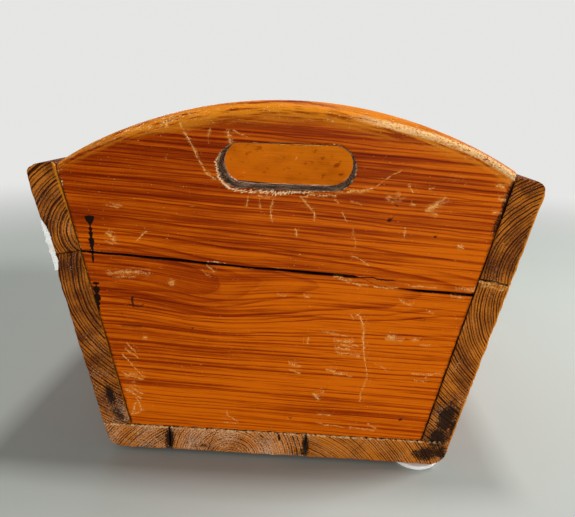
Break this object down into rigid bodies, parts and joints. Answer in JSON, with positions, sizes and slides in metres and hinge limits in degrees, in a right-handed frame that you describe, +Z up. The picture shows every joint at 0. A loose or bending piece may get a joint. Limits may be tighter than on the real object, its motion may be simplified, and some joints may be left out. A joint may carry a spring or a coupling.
{
  "type": "bobbin box",
  "caption": "Open wooden carrying box with flared plank sides and arched ends, each with a hand hole, nailed together and standing on round felt pads.",
  "frame": {"origin": "midway along and across the box, on the surface that its felt pads stand on", "axes": "+Z up, +Y along the box's length from the front end to the rear end, +X to the right as seen from the front"},
  "size_m": [0.3534, 0.41, 0.275],
  "materials": {
    "end_board": "orange-brown varnished pine, glossy, worn pale along its edges",
    "side_plank": "varnished pine with dark brown end grain",
    "floor_board": "pine with dark brown end grain, worn",
    "cut_nail": "dark rusted iron",
    "felt": "white wool felt",
    "paper": "plain white paper, matt"
  },
  "bodies": {
    "root": {"front_end_upper": "end_board", "front_end_lower": "end_board", "rear_end_upper": "end_board", "rear_end_lower": "end_board", "left_side_upper": "side_plank", "left_side_lower": "side_plank", "right_side_upper": "side_plank", "right_side_lower": "side_plank", "floor_left": "floor_board", "floor_middle": "floor_board", "floor_right": "floor_board", "nails_left_front": "cut_nail", "nails_left_rear": "cut_nail", "nails_right_front": "cut_nail", "nails_right_rear": "cut_nail", "nails_floor_front": "cut_nail", "nails_floor_rear": "cut_nail", "nails_floor_left": "cut_nail", "nails_floor_right": "cut_nail", "felt_pad_front_left": "felt", "felt_pad_front_right": "felt", "felt_pad_rear_left": "felt", "felt_pad_rear_right": "felt", "paper_label": "paper"}
  },
  "joints": []
}
